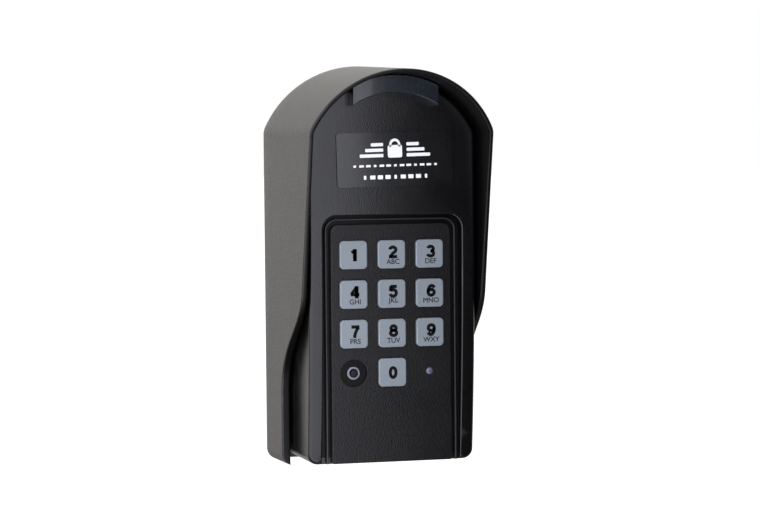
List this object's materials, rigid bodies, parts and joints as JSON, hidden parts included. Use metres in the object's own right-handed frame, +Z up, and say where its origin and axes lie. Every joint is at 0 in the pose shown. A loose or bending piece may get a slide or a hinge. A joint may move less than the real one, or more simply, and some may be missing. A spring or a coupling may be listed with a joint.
{
  "type": "keypad access reader",
  "caption": "Wall-mounted access keypad: arched weather hood over a black case with a sprung number keypad, program button, status light and a lamp under the roof.",
  "frame": {"origin": "middle of the wall plate's back face, which lies on the wall", "axes": "+Z up, -Y out of the wall towards the user, +X to the right of a person facing the keypad"},
  "size_m": [0.0976, 0.0889, 0.1969],
  "materials": {
    "hood_plastic": "black moulded plastic with a fine satin texture",
    "case_plastic": "black moulded plastic with a leather-like grain",
    "panel_plastic": "black moulded plastic, fine spark texture, satin",
    "key_plastic": "pale blue-grey moulded plastic with printed black figures",
    "dark_button": "black satin plastic",
    "inner_plastic": "black satin plastic",
    "rubber": "black rubber, matt",
    "label_film": "glossy black printed film",
    "smoked_lens": "smooth smoked plastic, satin gloss",
    "status_lens": "pale clear epoxy",
    "board_laminate": "green solder-masked glass laminate",
    "chip_resin": "black moulding compound",
    "steel": "zinc-plated or stainless steel",
    "battery_jacket": "printed metallic sleeve",
    "wire_jacket": "red or black insulated wire"
  },
  "bodies": {
    "base": {"wall_plate": "inner_plastic", "case_lock_screw": "steel", "rear_case": "case_plastic", "front_case": "case_plastic", "case_seal": "rubber", "label_plate": "label_film", "keypad_panel": "panel_plastic", "panel_seal": "rubber", "key_mat": "rubber", "button_collar": "key_plastic", "program_switch": "chip_resin", "status_led": "status_lens", "circuit_board": "board_laminate", "controller_chip": "chip_resin", "radio_module": "board_laminate", "antenna_wire": "wire_jacket", "lamp_lens": "smoked_lens", "lamp_board": "board_laminate", "battery_holder": "inner_plastic", "battery_door": "case_plastic", "positive_contact": "steel", "lower_bridge_contact": "steel", "upper_bridge_contact": "steel", "negative_contact": "steel", "case_screw_1": "steel", "board_screw_1": "steel", "case_screw_2": "steel", "board_screw_2": "steel", "case_screw_3": "steel", "board_screw_3": "steel", "case_screw_4": "steel", "board_screw_4": "steel", "lamp_led_1": "status_lens", "battery_1": "battery_jacket", "lamp_led_2": "status_lens", "battery_2": "battery_jacket", "lamp_led_3": "status_lens", "battery_3": "battery_jacket", "lamp_lead_1": "wire_jacket", "battery_lead_1": "wire_jacket", "lamp_lead_2": "wire_jacket", "battery_lead_2": "wire_jacket"},
    "hood": {"hood": "hood_plastic"},
    "key_1": {"key_1": "key_plastic"},
    "key_2": {"key_2": "key_plastic"},
    "key_3": {"key_3": "key_plastic"},
    "key_4": {"key_4": "key_plastic"},
    "key_5": {"key_5": "key_plastic"},
    "key_6": {"key_6": "key_plastic"},
    "key_7": {"key_7": "key_plastic"},
    "key_8": {"key_8": "key_plastic"},
    "key_9": {"key_9": "key_plastic"},
    "key_0": {"key_0": "key_plastic"},
    "program_button": {"program_button": "dark_button"}
  },
  "joints": [
    {"name": "hood_lift", "type": "slide", "parent": "base", "child": "hood", "axis": [0, 0, 1], "range_m": [0, 0.17]},
    {"name": "key_1_press", "type": "slide", "parent": "base", "child": "key_1", "axis": [0, 1, 0], "range_m": [0, 0.0013], "stiffness_N_per_m": 900},
    {"name": "key_2_press", "type": "slide", "parent": "base", "child": "key_2", "axis": [0, 1, 0], "range_m": [0, 0.0013], "stiffness_N_per_m": 900},
    {"name": "key_3_press", "type": "slide", "parent": "base", "child": "key_3", "axis": [0, 1, 0], "range_m": [0, 0.0013], "stiffness_N_per_m": 900},
    {"name": "key_4_press", "type": "slide", "parent": "base", "child": "key_4", "axis": [0, 1, 0], "range_m": [0, 0.0013], "stiffness_N_per_m": 900},
    {"name": "key_5_press", "type": "slide", "parent": "base", "child": "key_5", "axis": [0, 1, 0], "range_m": [0, 0.0013], "stiffness_N_per_m": 900},
    {"name": "key_6_press", "type": "slide", "parent": "base", "child": "key_6", "axis": [0, 1, 0], "range_m": [0, 0.0013], "stiffness_N_per_m": 900},
    {"name": "key_7_press", "type": "slide", "parent": "base", "child": "key_7", "axis": [0, 1, 0], "range_m": [0, 0.0013], "stiffness_N_per_m": 900},
    {"name": "key_8_press", "type": "slide", "parent": "base", "child": "key_8", "axis": [0, 1, 0], "range_m": [0, 0.0013], "stiffness_N_per_m": 900},
    {"name": "key_9_press", "type": "slide", "parent": "base", "child": "key_9", "axis": [0, 1, 0], "range_m": [0, 0.0013], "stiffness_N_per_m": 900},
    {"name": "key_0_press", "type": "slide", "parent": "base", "child": "key_0", "axis": [0, 1, 0], "range_m": [0, 0.0013], "stiffness_N_per_m": 900},
    {"name": "program_button_press", "type": "slide", "parent": "base", "child": "program_button", "axis": [0, 1, 0], "range_m": [0, 0.0008], "stiffness_N_per_m": 1500}
  ]
}
